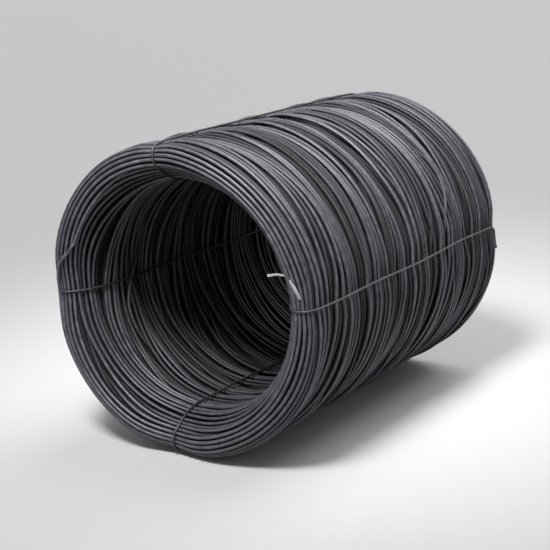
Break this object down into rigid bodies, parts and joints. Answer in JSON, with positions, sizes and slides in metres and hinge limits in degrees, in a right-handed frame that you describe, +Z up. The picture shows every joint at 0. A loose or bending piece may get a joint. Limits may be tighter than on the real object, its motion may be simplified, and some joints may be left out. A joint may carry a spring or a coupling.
{
  "type": "coil of spring wire",
  "caption": "Loose-wound coil of hot-rolled carbon steel spring wire lying on its side, with rounded ends, an open bore, wire ties round it and a blank label strip.",
  "frame": {"origin": "on the ground under the middle of the coil, which lies on its side", "axes": "+Y along the coil's axis with the labelled front end facing -Y, +Z up, +X to the right seen from the front"},
  "size_m": [1.2217, 1.555, 1.2212],
  "materials": {
    "wire": "hot-rolled, dark grey mill scale, dull",
    "tie": "black annealed tie wire, dull",
    "label": "blank white label strip"
  },
  "bodies": {
    "root": {"wire_coil": "wire", "tie_wire_right": "tie", "tie_wire_top": "tie", "tie_wire_left": "tie", "tie_wire_bottom": "tie", "label_tag": "label"}
  },
  "joints": []
}
